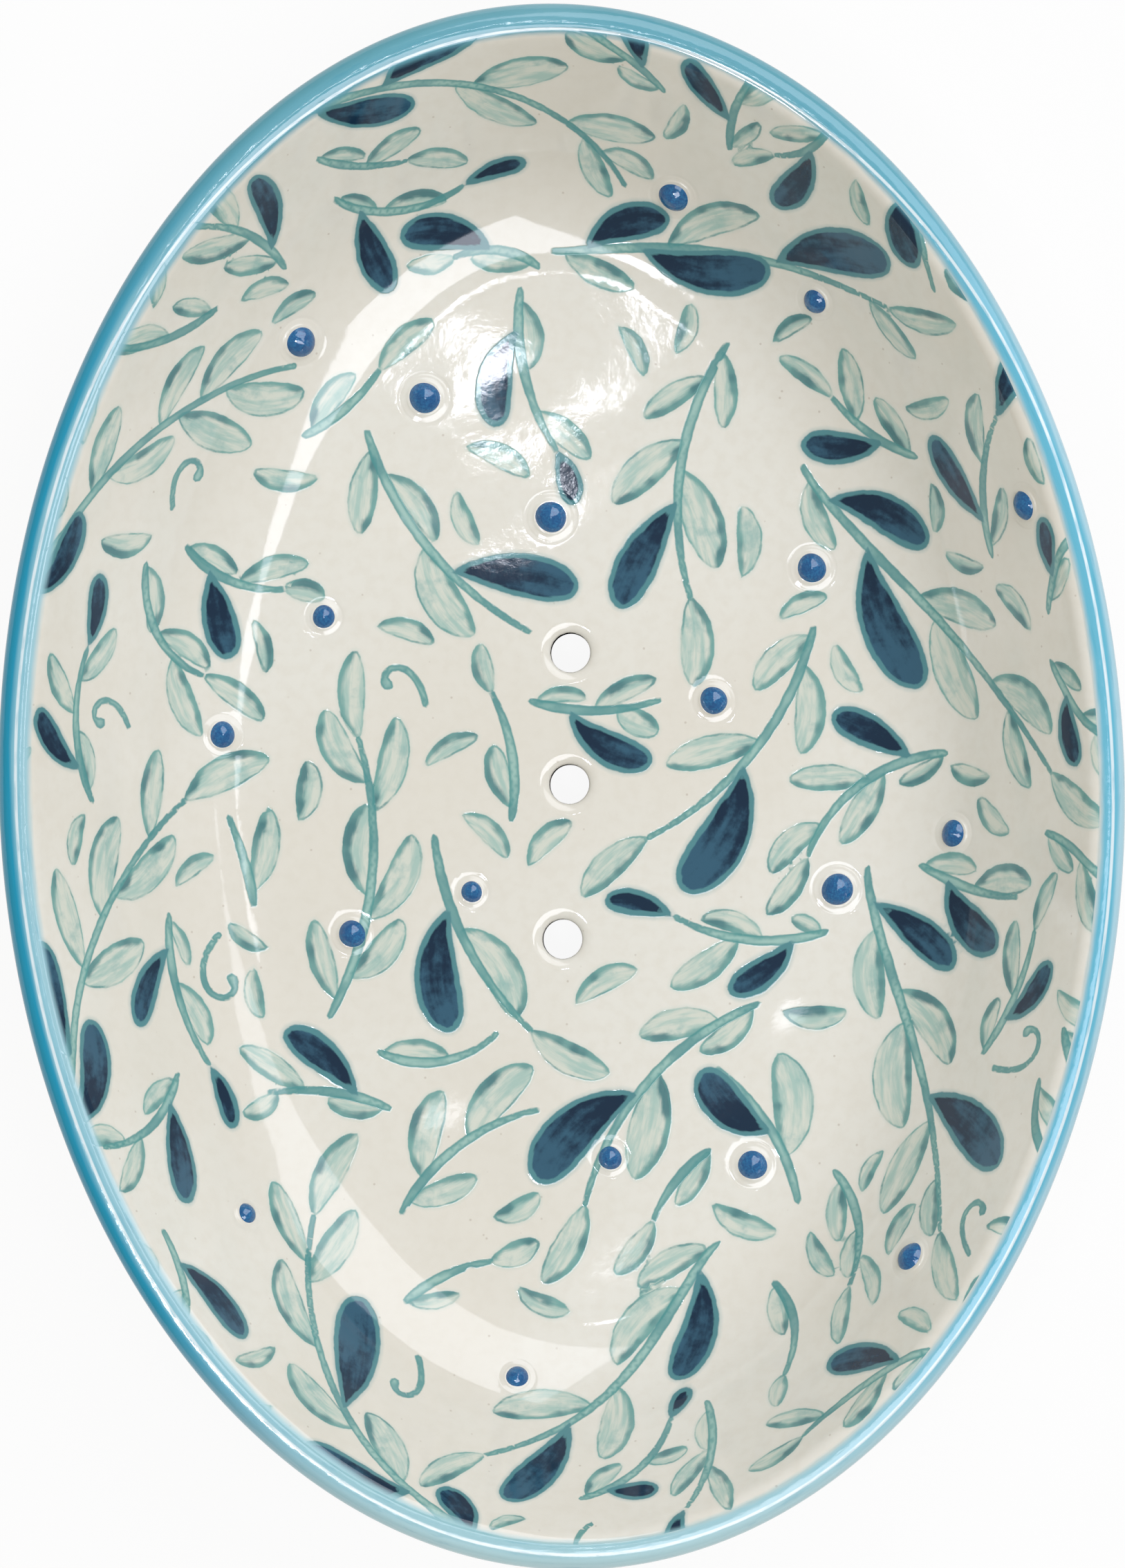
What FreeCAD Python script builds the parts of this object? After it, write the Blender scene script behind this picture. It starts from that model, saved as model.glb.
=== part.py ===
import FreeCAD, Part

import os
from math import asin, atan2, cos, hypot, pi, radians, sin, sqrt, tan

# Oval ceramic soap dish: a clay body of one even thickness on a foot ring, with three drain holes,
# a glaze band over the lip, and raised slip beads scattered over the floor and the wall.
# Millimetres. +Z is up, Y runs along the dish, and the origin is under its middle, on the table.

# Overall size, glaze included
LENGTH = 140.0
WIDTH = 100.6
HEIGHT = 23.0

# Clay body. An inset is measured in plan, square to the outline, from the outline inwards.
WALL_THICKNESS = 3.6
FLOOR_INSET = 23.0
FLOOR_CURVE_RADIUS = 15.0
FLANK_RADIUS = 80.0

# Foot ring. Its inner side stands FOOT_SETOUT outside the edge of the flat floor above it.
FOOT_HEIGHT = 3.0
FOOT_WIDTH = 4.0
FOOT_SETOUT = 0.5
FOOT_EDGE_RADIUS = 0.8
FOOT_FILLET_RADIUS = 1.2

# Glaze band over the lip. Its edges lie on the round of the lip, at angles from straight up.
BAND_THICKNESS = 0.35
BAND_INSIDE_ANGLE = radians(8)
BAND_OUTSIDE_ANGLE = radians(118)

# Drain holes, punched by hand along the middle: (x, y)
HOLE_DIAMETER = 3.6
HOLE_LIP_RADIUS = 1.1
HOLE_EXIT_RADIUS = 0.5
HOLE_PLACES = ((0.85, 12.4), (0.4, 0.45), (-0.65, -13.6))

# Raised beads. Each is a dome that meets its flat underside at DOT_EDGE_ANGLE, and lies on the
# dish's inner face with a film of glaze between.
DOT_EDGE_ANGLE = radians(66)
DOT_GLAZE_FILM = 0.12

# Beads on the flat floor: (bearing, setback from the floor's edge, diameter).
# A bearing is in degrees round the outline, clockwise from +Y.
FLOOR_DOTS = (
    (320, 4.2, 3.0),
    (316, 19.9, 3.0),
    (68, 1.6, 2.8),
    (289, 3.9, 2.2),
    (80, 13.1, 2.6),
    (257, 17.8, 2.0),
    (101, 2.2, 3.0),
    (255, 6.4, 2.6),
    (151, 11.9, 2.2),
    (134, 1.6, 2.8),
)

# Beads on the wall: (bearing, share of the way down from the lip to the floor, diameter)
WALL_DOTS = (
    (21, 0.52, 3.0),
    (43, 0.48, 2.5),
    (69, 0.07, 2.8),
    (95, 0.59, 2.6),
    (133, 0.24, 2.9),
    (192, 0.64, 2.2),
    (232, 0.40, 2.0),
    (276, 0.80, 2.5),
    (316, 0.60, 3.0),
)

UP = pi / 2
INSIDE = pi
OUTSIDE = 0.0


# Section geometry. A section point is (u, z): u is 0 on the outline and negative inwards.

def polar(centre, radius, angle):
    return (centre[0] + radius * cos(angle), centre[1] + radius * sin(angle))


def angle_from(centre, point):
    return atan2(point[1] - centre[1], point[0] - centre[0])


def circle_meeting(first, first_reach, second, second_reach):
    """The upper of the two points at given distances from two centres, the first of them further in."""
    du = second[0] - first[0]
    dz = second[1] - first[1]
    apart = hypot(du, dz)
    along = (apart ** 2 + first_reach ** 2 - second_reach ** 2) / (2 * apart)
    across = sqrt(first_reach ** 2 - along ** 2)
    return (first[0] + (along * du - across * dz) / apart, first[1] + (along * dz + across * du) / apart)


# Lip and glaze band. The band is a crescent: its inner side is the clay's round lip, and its outer
# side is an arc through the same two edges that stands BAND_THICKNESS proud in the middle.
lip_radius = WALL_THICKNESS / 2
band_inner_edge = UP + BAND_INSIDE_ANGLE
band_outer_edge = UP - BAND_OUTSIDE_ANGLE
band_middle = (band_inner_edge + band_outer_edge) / 2
band_half_angle = (band_inner_edge - band_outer_edge) / 2
band_half_chord = lip_radius * sin(band_half_angle)
band_rise = lip_radius * (1 - cos(band_half_angle)) + BAND_THICKNESS
band_radius = (band_half_chord ** 2 + band_rise ** 2) / (2 * band_rise)
band_offset = lip_radius + BAND_THICKNESS - band_radius
lip_centre = (
    -band_radius - band_offset * cos(band_middle),
    HEIGHT - band_radius - band_offset * sin(band_middle),
)
band_centre = polar(lip_centre, band_offset, band_middle)

# Floor and wall. The inner face is an arc up from the floor, then a flatter arc up to the lip, each
# tangent to the next, and the outer face runs parallel to it.
floor_top = FOOT_HEIGHT + WALL_THICKNESS
floor_edge = -FLOOR_INSET
curve_centre = (floor_edge, floor_top + FLOOR_CURVE_RADIUS)
flank_centre = circle_meeting(
    curve_centre, FLANK_RADIUS - FLOOR_CURVE_RADIUS, lip_centre, FLANK_RADIUS + lip_radius)
flank_low = angle_from(flank_centre, curve_centre)
flank_high = angle_from(flank_centre, lip_centre)
floor_angle = -UP

# Foot ring. Its outer side meets the outer face in a fillet tangent to both.
foot_inner = floor_edge + FOOT_SETOUT
foot_outer = foot_inner + FOOT_WIDTH
outer_curve_radius = FLOOR_CURVE_RADIUS + WALL_THICKNESS
fillet_u = foot_outer + FOOT_FILLET_RADIUS
fillet_drop = sqrt((outer_curve_radius + FOOT_FILLET_RADIUS) ** 2 - (fillet_u - curve_centre[0]) ** 2)
fillet_centre = (fillet_u, curve_centre[1] - fillet_drop)
fillet_angle = angle_from(curve_centre, fillet_centre)
foot_outer_edge = (foot_outer - FOOT_EDGE_RADIUS, FOOT_EDGE_RADIUS)
foot_inner_edge = (foot_inner + FOOT_EDGE_RADIUS, FOOT_EDGE_RADIUS)


# Solids

def place(point):
    """A section point in space, where the outline crosses +Y."""
    return FreeCAD.Vector(0, LENGTH / 2 + point[0], point[1])


def line(start, end):
    return Part.LineSegment(place(start), place(end)).toShape()


def arc(centre, radius, start, end):
    ends = [place(polar(centre, radius, angle)) for angle in (start, (start + end) / 2, end)]
    return Part.Arc(*ends).toShape()


def outline():
    return Part.Ellipse(
        FreeCAD.Vector(0, LENGTH / 2, 0), FreeCAD.Vector(-WIDTH / 2, 0, 0), FreeCAD.Vector(0, 0, 0))


def swept(edges, solid):
    return Part.Wire(outline().toShape()).makePipeShell([Part.Wire(edges)], solid)


def loop_through(shell, point):
    """The swept shell's closed edge that starts at a section point."""
    start = place(point)
    closed = [edge for edge in shell.Edges if edge.isClosed()]
    return Part.Wire([min(closed, key=lambda edge: edge.Vertexes[0].Point.distanceToPoint(start))])


def drain_hole(x, y):
    return Part.makeCylinder(HOLE_DIAMETER / 2, HEIGHT, FreeCAD.Vector(x, y, 0))


def round_edges(shape, height, radius):
    """Round the edges of the drain holes at one height."""
    rims = [
        edge for edge in shape.Edges
        if isinstance(edge.Curve, Part.Circle)
        and abs(edge.Curve.Radius - HOLE_DIAMETER / 2) < Part.Precision.confusion()
        and abs(edge.Curve.Center.z - height) < Part.Precision.confusion()
    ]
    return shape.makeFillet(radius, rims)


def dish_body():
    outside = swept([
        arc(curve_centre, FLOOR_CURVE_RADIUS, floor_angle, flank_low),
        arc(flank_centre, FLANK_RADIUS, flank_low, flank_high),
        arc(lip_centre, lip_radius, flank_high + pi, band_inner_edge),
        arc(lip_centre, lip_radius, band_inner_edge, band_outer_edge),
        arc(lip_centre, lip_radius, band_outer_edge, flank_high),
        arc(flank_centre, FLANK_RADIUS + WALL_THICKNESS, flank_high, flank_low),
        arc(curve_centre, outer_curve_radius, flank_low, fillet_angle),
        arc(fillet_centre, FOOT_FILLET_RADIUS, fillet_angle + pi, INSIDE),
        line((foot_outer, fillet_centre[1]), (foot_outer, FOOT_EDGE_RADIUS)),
        arc(foot_outer_edge, FOOT_EDGE_RADIUS, OUTSIDE, -UP),
    ], False)
    recess = swept([
        arc(foot_inner_edge, FOOT_EDGE_RADIUS, -UP, -INSIDE),
        line((foot_inner, FOOT_EDGE_RADIUS), (foot_inner, FOOT_HEIGHT)),
    ], False)
    floor = Part.Face(loop_through(outside, (floor_edge, floor_top)))
    base = Part.Face([
        loop_through(outside, (foot_outer_edge[0], 0)),
        loop_through(recess, (foot_inner_edge[0], 0)),
    ])
    underside = Part.Face(loop_through(recess, (foot_inner, FOOT_HEIGHT)))
    shell = Part.Shell(outside.Faces + recess.Faces + [floor, base, underside])
    shell.sewShape()
    body = Part.Solid(shell)
    for x, y in HOLE_PLACES:
        body = body.cut(drain_hole(x, y))
    body = round_edges(body, floor_top, HOLE_LIP_RADIUS)
    return round_edges(body, FOOT_HEIGHT, HOLE_EXIT_RADIUS)


def rim_glaze_band():
    edge_angles = [angle_from(band_centre, polar(lip_centre, lip_radius, angle))
                   for angle in (band_inner_edge, band_outer_edge)]
    return swept([
        arc(lip_centre, lip_radius, band_inner_edge, band_outer_edge),
        arc(band_centre, band_radius, edge_angles[1], edge_angles[0]),
    ], True)


def inner_slope(inset):
    """The slope of the inner face at an inset, and its height there."""
    u = -inset
    if u <= floor_edge:
        return 0.0, floor_top
    if u <= polar(curve_centre, FLOOR_CURVE_RADIUS, flank_low)[0]:
        centre, radius = curve_centre, FLOOR_CURVE_RADIUS
    else:
        centre, radius = flank_centre, FLANK_RADIUS
    slope = asin((u - centre[0]) / radius)
    return slope, centre[1] - radius * cos(slope)


def seat_lift(bearing, inset, slope, radius):
    """How far a flat disc stands off the hollow wall before its edge clears it."""
    if slope == 0:
        return 0.0
    outline_bend = hypot(WIDTH * cos(bearing), LENGTH * sin(bearing)) ** 3 / (2 * WIDTH * LENGTH)
    round_bend = (outline_bend - inset - radius) / sin(slope)
    bend = min(FLOOR_CURVE_RADIUS, round_bend)
    return bend - sqrt(bend ** 2 - radius ** 2)


def raised_dot(bearing, inset, diameter):
    """A bead at an inset from the outline, standing square on the inner face."""
    radius = diameter / 2
    across = WIDTH / 2 * sin(bearing)
    along = LENGTH / 2 * cos(bearing)
    outwards = FreeCAD.Vector(across / WIDTH ** 2, along / LENGTH ** 2, 0).normalize()
    slope, height = inner_slope(inset)
    normal = FreeCAD.Vector(0, 0, cos(slope)) - outwards * sin(slope)
    lift = DOT_GLAZE_FILM + seat_lift(bearing, inset, slope, radius)
    seat = FreeCAD.Vector(across, along, height) - outwards * inset + normal * lift
    dome_centre = (0, -radius / tan(DOT_EDGE_ANGLE))
    shoulder = polar(dome_centre, radius / sin(DOT_EDGE_ANGLE), UP - DOT_EDGE_ANGLE / 2)
    top = (0, radius * tan(DOT_EDGE_ANGLE / 2))
    middle, peak, shoulder, rim = [FreeCAD.Vector(r, 0, z) for r, z in ((0, 0), top, shoulder, (radius, 0))]
    half = Part.Wire([
        Part.Arc(peak, shoulder, rim).toShape(),
        Part.LineSegment(rim, middle).toShape(),
        Part.LineSegment(middle, peak).toShape(),
    ])
    bead = Part.Face(half).revolve(middle, peak, 360)
    bead.Placement = FreeCAD.Placement(seat, FreeCAD.Rotation(peak, normal))
    return bead


def dots():
    """Every bead as (bearing, inset, diameter)."""
    lip_edge = polar(lip_centre, lip_radius, flank_high + pi)[0]
    for bearing, setback, diameter in FLOOR_DOTS:
        yield radians(bearing), FLOOR_INSET + setback, diameter
    for bearing, share, diameter in WALL_DOTS:
        yield radians(bearing), -lip_edge + share * (lip_edge - floor_edge), diameter


def build():
    nodes = {"dish_body": dish_body(), "rim_glaze_band": rim_glaze_band()}
    for number, (bearing, inset, diameter) in enumerate(dots(), start=1):
        nodes[f"raised_dot_{number:02d}"] = raised_dot(bearing, inset, diameter)
    return nodes


os.makedirs("parts", exist_ok=True)
for name, shape in build().items():
    shape.exportStep(f"parts/{name}.step")
    print(name, shape.ShapeType, len(shape.Solids), shape.isValid(), round(shape.Volume, 3))
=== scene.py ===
from math import atan2, cos, hypot, pi, radians, sin, sqrt, tan

import bpy
import numpy as np
from mathutils import Matrix, Vector
from mathutils.geometry import delaunay_2d_cdt


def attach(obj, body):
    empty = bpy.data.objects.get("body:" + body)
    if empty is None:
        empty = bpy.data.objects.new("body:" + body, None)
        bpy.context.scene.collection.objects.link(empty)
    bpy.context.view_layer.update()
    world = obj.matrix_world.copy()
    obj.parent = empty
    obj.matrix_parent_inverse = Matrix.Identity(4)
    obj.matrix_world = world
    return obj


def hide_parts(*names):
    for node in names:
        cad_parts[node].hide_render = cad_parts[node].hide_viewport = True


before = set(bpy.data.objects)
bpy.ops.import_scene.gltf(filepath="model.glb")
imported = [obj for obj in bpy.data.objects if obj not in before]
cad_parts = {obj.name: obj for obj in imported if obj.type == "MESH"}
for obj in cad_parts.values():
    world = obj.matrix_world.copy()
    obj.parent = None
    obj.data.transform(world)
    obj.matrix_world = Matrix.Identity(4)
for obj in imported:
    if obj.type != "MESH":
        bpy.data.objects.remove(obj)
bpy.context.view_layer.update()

# Sizes in millimetres, the same as in the part's source
LENGTH = 140.0
WIDTH = 100.6
HEIGHT = 23.0
WALL_THICKNESS = 3.6
FLOOR_INSET = 23.0
FLOOR_CURVE_RADIUS = 15.0
FLANK_RADIUS = 80.0
FOOT_HEIGHT = 3.0
FOOT_WIDTH = 4.0
FOOT_SETOUT = 0.5
FOOT_EDGE_RADIUS = 0.8
FOOT_FILLET_RADIUS = 1.2
BAND_THICKNESS = 0.35
BAND_INSIDE_ANGLE = radians(8)
BAND_OUTSIDE_ANGLE = radians(118)
HOLE_RADIUS = 1.8
HOLE_LIP_RADIUS = 1.1
HOLE_EXIT_RADIUS = 0.5
HOLE_PLACES = ((0.85, 12.4), (0.4, 0.45), (-0.65, -13.6))
DOT_EDGE_ANGLE = radians(66)
FLOOR_DOTS = (
    (320, 4.2, 3.0),
    (316, 19.9, 3.0),
    (68, 1.6, 2.8),
    (289, 3.9, 2.2),
    (80, 13.1, 2.6),
    (257, 17.8, 2.0),
    (101, 2.2, 3.0),
    (255, 6.4, 2.6),
    (151, 11.9, 2.2),
    (134, 1.6, 2.8),
)
WALL_DOTS = (
    (21, 0.52, 3.0),
    (43, 0.48, 2.5),
    (69, 0.07, 2.8),
    (95, 0.59, 2.6),
    (133, 0.24, 2.9),
    (192, 0.64, 2.2),
    (232, 0.40, 2.0),
    (276, 0.80, 2.5),
    (316, 0.60, 3.0),
)

# Section of the dish. A section point is (u, z): u is 0 on the outline and negative inwards.
UP = pi / 2


def polar(centre, radius, angle):
    return (centre[0] + radius * cos(angle), centre[1] + radius * sin(angle))


def angle_from(centre, point):
    return atan2(point[1] - centre[1], point[0] - centre[0])


def circle_meeting(first, first_reach, second, second_reach):
    """The upper of the two points at given distances from two centres, the first of them further in."""
    du = second[0] - first[0]
    dz = second[1] - first[1]
    apart = hypot(du, dz)
    along = (apart ** 2 + first_reach ** 2 - second_reach ** 2) / (2 * apart)
    across = sqrt(first_reach ** 2 - along ** 2)
    return (first[0] + (along * du - across * dz) / apart, first[1] + (along * dz + across * du) / apart)


lip_radius = WALL_THICKNESS / 2
band_inner_edge = UP + BAND_INSIDE_ANGLE
band_outer_edge = UP - BAND_OUTSIDE_ANGLE
band_middle = (band_inner_edge + band_outer_edge) / 2
band_half_angle = (band_inner_edge - band_outer_edge) / 2
band_half_chord = lip_radius * sin(band_half_angle)
band_rise = lip_radius * (1 - cos(band_half_angle)) + BAND_THICKNESS
band_radius = (band_half_chord ** 2 + band_rise ** 2) / (2 * band_rise)
band_offset = lip_radius + BAND_THICKNESS - band_radius
lip_centre = (
    -band_radius - band_offset * cos(band_middle),
    HEIGHT - band_radius - band_offset * sin(band_middle),
)
band_centre = polar(lip_centre, band_offset, band_middle)
floor_top = FOOT_HEIGHT + WALL_THICKNESS
curve_centre = (-FLOOR_INSET, floor_top + FLOOR_CURVE_RADIUS)
flank_centre = circle_meeting(
    curve_centre, FLANK_RADIUS - FLOOR_CURVE_RADIUS, lip_centre, FLANK_RADIUS + lip_radius)
flank_low = angle_from(flank_centre, curve_centre)
flank_high = angle_from(flank_centre, lip_centre)
foot_inner = -FLOOR_INSET + FOOT_SETOUT
foot_outer = foot_inner + FOOT_WIDTH
outer_curve_radius = FLOOR_CURVE_RADIUS + WALL_THICKNESS
fillet_u = foot_outer + FOOT_FILLET_RADIUS
fillet_drop = sqrt((outer_curve_radius + FOOT_FILLET_RADIUS) ** 2 - (fillet_u - curve_centre[0]) ** 2)
fillet_centre = (fillet_u, curve_centre[1] - fillet_drop)
fillet_angle = angle_from(curve_centre, fillet_centre)
curve_top = polar(curve_centre, FLOOR_CURVE_RADIUS, flank_low)
lip_inner = polar(lip_centre, lip_radius, flank_high + pi)
lip_inset = -lip_inner[0]
lip_slope = flank_high + UP
crest = (lip_centre[0], lip_centre[1] + lip_radius)
crest_inset = -crest[0]
curve_length = FLOOR_CURVE_RADIUS * (flank_low + UP)
wall_length = curve_length + FLANK_RADIUS * (flank_high - flank_low)
crest_length = wall_length + lip_radius * lip_slope
exit_reach = HOLE_RADIUS + HOLE_EXIT_RADIUS


def by_zone(u, curve, flank, lip):
    """For each point, the value for the floor and its curve, for the flank or for the lip."""
    return np.where(u <= curve_top[0], curve, np.where(u <= lip_inner[0], flank, lip))


def inner_height(inset):
    """Height of the plain inner face at an inset, from the floor up to the crest of the lip."""
    u = -np.minimum(inset, FLOOR_INSET)
    curve = curve_centre[1] - np.sqrt(np.maximum(FLOOR_CURVE_RADIUS ** 2 - (u - curve_centre[0]) ** 2, 0))
    flank = flank_centre[1] - np.sqrt(FLANK_RADIUS ** 2 - (u - flank_centre[0]) ** 2)
    lip = lip_centre[1] + np.sqrt(np.maximum(lip_radius ** 2 - (u - lip_centre[0]) ** 2, 0))
    return by_zone(u, curve, flank, lip)


def inner_slope(inset):
    u = -np.minimum(inset, FLOOR_INSET)
    curve = np.arcsin(np.clip((u - curve_centre[0]) / FLOOR_CURVE_RADIUS, 0, 1))
    flank = np.arcsin((u - flank_centre[0]) / FLANK_RADIUS)
    lip = np.arcsin(np.clip((lip_centre[0] - u) / lip_radius, -1, 1))
    return by_zone(u, curve, flank, lip)


def climb(inset):
    """Length of the inner face from the floor's edge up to an inset; negative on the floor."""
    slope = inner_slope(inset)
    curve = FLOOR_CURVE_RADIUS * slope
    flank = curve_length + FLANK_RADIUS * (slope - flank_low - UP)
    lip = wall_length + lip_radius * (lip_slope - slope)
    return np.where(inset >= FLOOR_INSET, FLOOR_INSET - inset, by_zone(-inset, curve, flank, lip))


def inset_at(length):
    """The inset at a length up the inner face from the floor's edge; on the floor, lengths are negative."""
    if length <= 0:
        return FLOOR_INSET - length
    if length <= curve_length:
        return -curve_centre[0] - FLOOR_CURVE_RADIUS * sin(length / FLOOR_CURVE_RADIUS)
    if length <= wall_length:
        return -flank_centre[0] - FLANK_RADIUS * sin(flank_low + UP + (length - curve_length) / FLANK_RADIUS)
    return crest_inset + lip_radius * sin(lip_slope - (length - wall_length) / lip_radius)


# Plan geometry. A bearing goes round the outline, clockwise from +Y.
TABLE = np.linspace(0, 2 * pi, 4001)
FOOT_ROUNDS = 8
DIAGONAL = 0.7071


def rim_frame(bearing):
    """Points of the outline, and the outward directions there."""
    bearing = np.asarray(bearing, float)
    x = WIDTH / 2 * np.sin(bearing)
    y = LENGTH / 2 * np.cos(bearing)
    outwards = np.stack([x / WIDTH ** 2, y / LENGTH ** 2], -1)
    return np.stack([x, y], -1), outwards / np.linalg.norm(outwards, axis=-1, keepdims=True)


def plan(bearing, inset):
    point, outwards = rim_frame(bearing)
    return point - outwards * np.asarray(inset, float)[..., None]


def run_along(line):
    """The length along a line of points, up to each of them."""
    return np.concatenate([[0], np.cumsum(np.hypot(*np.diff(line, axis=0).T))])


def even_bearings(inset, count, shift=0.0):
    """Bearings that divide the line at an inset into even steps."""
    length = run_along(plan(TABLE, inset))
    return np.interp((np.arange(count) + shift) / count * length[-1], length, TABLE)


def outline_foot(points):
    """The bearing of the outline point nearest to each plan point, found in rounds from a diagonal."""
    x, y = np.abs(points).T
    a, b = WIDTH / 2, LENGTH / 2
    tx = np.full(len(points), DIAGONAL)
    ty = tx.copy()
    for _ in range(FOOT_ROUNDS):
        ex = (a * a - b * b) * tx ** 3 / a
        ey = (b * b - a * a) * ty ** 3 / b
        r = np.hypot(a * tx - ex, b * ty - ey)
        q = np.maximum(np.hypot(x - ex, y - ey), 1e-9)
        tx = np.clip((x - ex) * r / q + ex, 0, a) / a
        ty = np.clip((y - ey) * r / q + ey, 0, b) / b
        norm = np.hypot(tx, ty)
        tx, ty = tx / norm, ty / norm
    return np.arctan2(tx * np.sign(points[:, 0]), ty * np.sign(points[:, 1]))


# The flattened plane: the floor as it is, with the wall folded down round it at its true length.

def flat(bearing, length):
    return plan(bearing, FLOOR_INSET - np.asarray(length, float))


def unroll(points):
    """Plan points of the inner face in the flattened plane, with their bearings and insets."""
    bearing = outline_foot(points)
    rim_point, outwards = rim_frame(bearing)
    inset = np.hypot(*(rim_point - points).T)
    stretch = np.where(inset < FLOOR_INSET, climb(inset) - FLOOR_INSET + inset, 0)
    return points + outwards * stretch[:, None], bearing, inset


def roll_up(points):
    """Points of the flattened plane, back in plan."""
    bearing = outline_foot(points)
    rim_point, outwards = rim_frame(bearing)
    beyond = ((points - rim_point) * outwards).sum(1)
    return plan(bearing, [inset_at(FLOOR_INSET + reach) for reach in beyond])


def dots():
    """Every bead as (bearing, inset, radius), in the order of the nodes."""
    for bearing, setback, diameter in FLOOR_DOTS:
        yield radians(bearing), FLOOR_INSET + setback, diameter / 2
    for bearing, share, diameter in WALL_DOTS:
        yield radians(bearing), lip_inset + share * (FLOOR_INSET - lip_inset), diameter / 2


DOTS = list(dots())
FLAT_BEADS = [(flat(bearing, climb(inset)), radius) for bearing, inset, radius in DOTS]

# Painted leaves: an all-over pattern of curved sprigs, laid out in the flattened plane.
PAINTING_SEED = 7
STEP = 0.2
FEWEST_POINTS = 10
STROKE_MARGIN = 1.6
MOST_SPOTS = 30000
WIDEST_SPOT = 2.5
FAR_AWAY = 1e3
HOLE_CLEARING = 2.3
BEAD_OVERLAP = 0.15
LIP_OVERHANG = 6.0
STEM_ROOM = 0.4
STEM_CLEARANCE = 0.8
STEM_CUT = 6
LEAF_SIZES = (0.92, 1.12)
LEAF_ANGLES = (34, 54)
LEAF_BENDS = (10, 60)
TIP_BEND = -30
BUD_SIZE = 1.3
FILL_ATTEMPTS = 2600
SPRIG_ATTEMPTS = 1500
TENDRIL_ATTEMPTS = 1800
TENDRILS = 9
TENDRIL_CURL = 200
TENDRIL_HALF_WIDTH = 0.31
TENDRIL_END = (0.36, 0.45, 0.5, 0.42)
MID_WALL = 11.0
HANDS = (-1, 1)

# Sprigs of the wall, rising and falling by turns: shift, then limits of length, low end, high end and sway
WALL_SPRIGS = 14
WALL_STEMS = (
    (0, (29, 34), (0, 2.5), (17, 21), (-2.5, -1)),
    (4, (27, 32), (27, 30), (7, 10), (0, 2)),
)

# Sprigs of the floor: the start's two coordinates, the direction, the length and the bend
FLOOR_SPRIGS = (
    (-17, 33, -75, 24, 45),
    (16, 40, -125, 24, 50),
    (23, 14, -105, 25, -50),
    (17, -20, -160, 25, 55),
    (4, -43, 140, 24, -50),
    (-22, -20, 60, 26, 45),
    (-9, 10, 50, 22, 60),
    (10, -4, -100, 20, -55),
    (-12, -4, -85, 20, 40),
    (6, 24, -60, 18, -50),
    (-16, -38, 60, 16, -50),
    (20, -38, 100, 18, 50),
)

lip_flat = flat(TABLE, crest_length)
lip_turn = np.unwrap(np.arctan2(lip_flat[:, 0], lip_flat[:, 1]))
mid_wall_length = run_along(flat(TABLE, MID_WALL))


def lip_reach(turn):
    return np.interp(np.mod(turn, 2 * pi), lip_turn, np.hypot(*lip_flat.T))


def room_to_lip(points):
    """About how far a point of the flattened plane lies inside the lip."""
    return lip_reach(np.arctan2(points[:, 0], points[:, 1])) - np.hypot(*points.T)


def taper(share, foot, tip):
    """Half-width along a stroke, 1 at its widest and thin at both ends."""
    widest = foot / (foot + tip)
    return (share / widest) ** foot * ((1 - share) / (1 - widest)) ** tip


def walk(start, angle, length, bend, curl=0.0):
    """Points of a stroke that turns by bend evenly, and by curl mostly at its end."""
    count = max(FEWEST_POINTS, int(length / STEP))
    share = np.linspace(0, 1, count)
    angles = angle + bend * share + curl * share ** 3
    steps = np.stack([np.cos(angles), np.sin(angles)], 1) * length / (count - 1)
    return np.asarray(start) + np.concatenate([np.zeros((1, 2)), np.cumsum(steps[:-1], 0)])


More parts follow.
